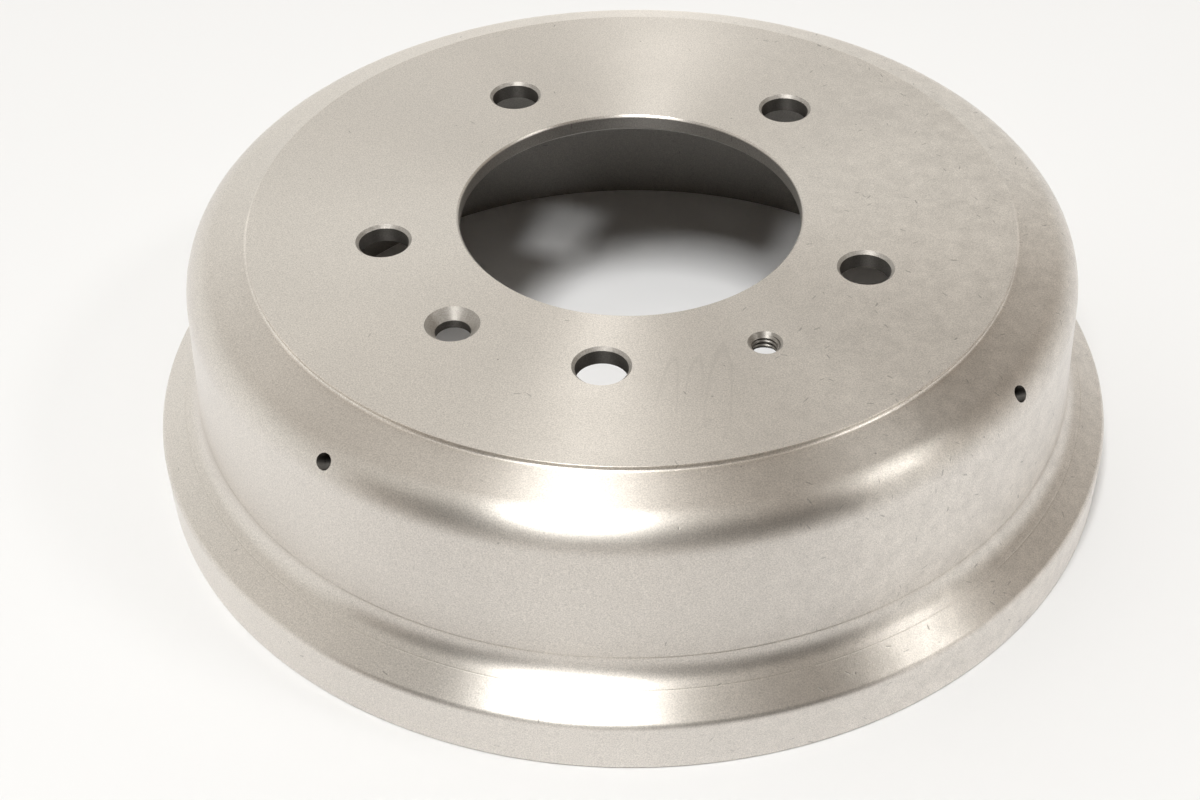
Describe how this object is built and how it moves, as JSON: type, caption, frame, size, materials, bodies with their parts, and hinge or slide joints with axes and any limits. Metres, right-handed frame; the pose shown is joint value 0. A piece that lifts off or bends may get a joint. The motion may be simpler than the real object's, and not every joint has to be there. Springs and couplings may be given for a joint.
{
  "type": "brake drum",
  "caption": "Turned iron brake drum with a flat wheel face, rounded shoulder, straight side wall and a flanged rim at its open end.",
  "frame": {"origin": "centre of the rim's end face, on the axle line, at the level that the drum stands on", "axes": "+Z along the axle line, out of the wheel face; the first stud hole is on the -Y side"},
  "size_m": [0.3326, 0.3326, 0.0877],
  "materials": {
    "machined_iron": "bare turned grey iron, fine concentric tool marks, satin"
  },
  "bodies": {
    "root": {"brake_drum": "machined_iron"}
  },
  "joints": []
}
